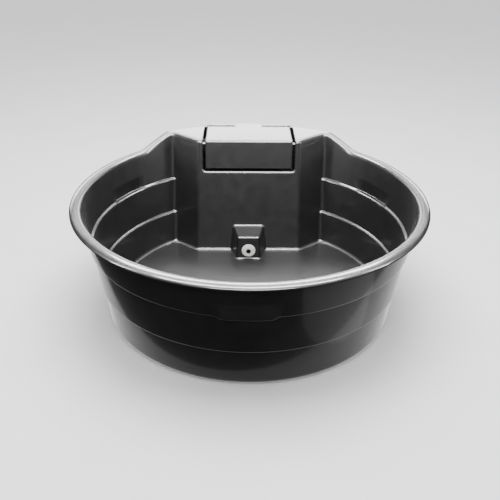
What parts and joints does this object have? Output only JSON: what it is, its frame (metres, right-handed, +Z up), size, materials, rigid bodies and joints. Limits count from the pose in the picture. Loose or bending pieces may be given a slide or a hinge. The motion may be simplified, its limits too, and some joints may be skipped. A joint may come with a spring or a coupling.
{
  "type": "round livestock water trough",
  "caption": "Round nesting polyethylene water trough for livestock, with a float valve under a hinged lid in a raised pod and a screw-in drain plug.",
  "frame": {"origin": "on the ground at the centre of the foot ring, which is the centre of the rim's circle", "axes": "+Z up; +Y towards the raised pod with the valve at the back; +X to the right for someone facing the pod from the front"},
  "size_m": [1.784, 1.784, 0.686],
  "materials": {
    "polyethylene": "black rotomoulded polyethylene, semi-gloss with a fine waviness",
    "white_nylon": "white moulded nylon, satin",
    "rubber": "black EPDM, matt",
    "black_nylon": "black moulded nylon, satin",
    "brass": "machined and cast brass, slightly tarnished",
    "stainless": "drawn stainless rod and sheet",
    "float_plastic": "orange blow-moulded plastic, satin with a moulding seam"
  },
  "bodies": {
    "trough": {"trough_shell": "polyethylene", "hinge_pin": "stainless", "hinge_clip_left": "stainless", "hinge_clip_right": "stainless", "drain_gasket": "rubber", "drain_bush": "white_nylon", "drain_bush_nut": "white_nylon", "valve_body": "brass", "valve_seat": "white_nylon", "valve_barrel_cap": "brass", "tail_washer_inner": "rubber", "tail_nut_inner": "black_nylon", "tail_washer_outer": "rubber", "tail_nut_outer": "black_nylon", "arm_pivot_pin": "stainless"},
    "lid": {"valve_lid": "polyethylene"},
    "arm": {"float_arm": "brass", "float": "float_plastic", "float_lock_nut": "brass"},
    "valve_piston": {"piston": "brass", "piston_washer": "rubber"},
    "plug_seal": {"drain_plug_seal": "rubber"},
    "plug": {"drain_plug": "white_nylon"}
  },
  "joints": [
    {"name": "lid_hinge", "type": "hinge", "parent": "trough", "child": "lid", "pos_m": [0, 0.866, 0.657], "axis": [-1, 0, 0], "range_deg": [0, 105]},
    {"name": "arm_lift", "type": "hinge", "parent": "trough", "child": "arm", "pos_m": [-0.15, 0.735, 0.594], "axis": [0, -1, 0], "range_deg": [0, 13]},
    {"name": "piston_travel", "type": "slide", "parent": "trough", "child": "valve_piston", "axis": [-1, 0, 0], "range_m": [0, 0.0055]},
    {"name": "plug_travel", "type": "slide", "parent": "trough", "child": "plug_seal", "axis": [0, -1, 0], "range_m": [0, 0.0301]},
    {"name": "plug_turn", "type": "hinge", "parent": "plug_seal", "child": "plug", "pos_m": [0, 0.352, 0.078], "axis": [0, -1, 0], "range_deg": [0, 1800]}
  ],
  "couplings": [
    {"joint": "piston_travel", "follows": "arm_lift", "m_per_rad": 0.024},
    {"joint": "plug_travel", "follows": "plug_turn", "m_per_rad": 0.00095493}
  ]
}
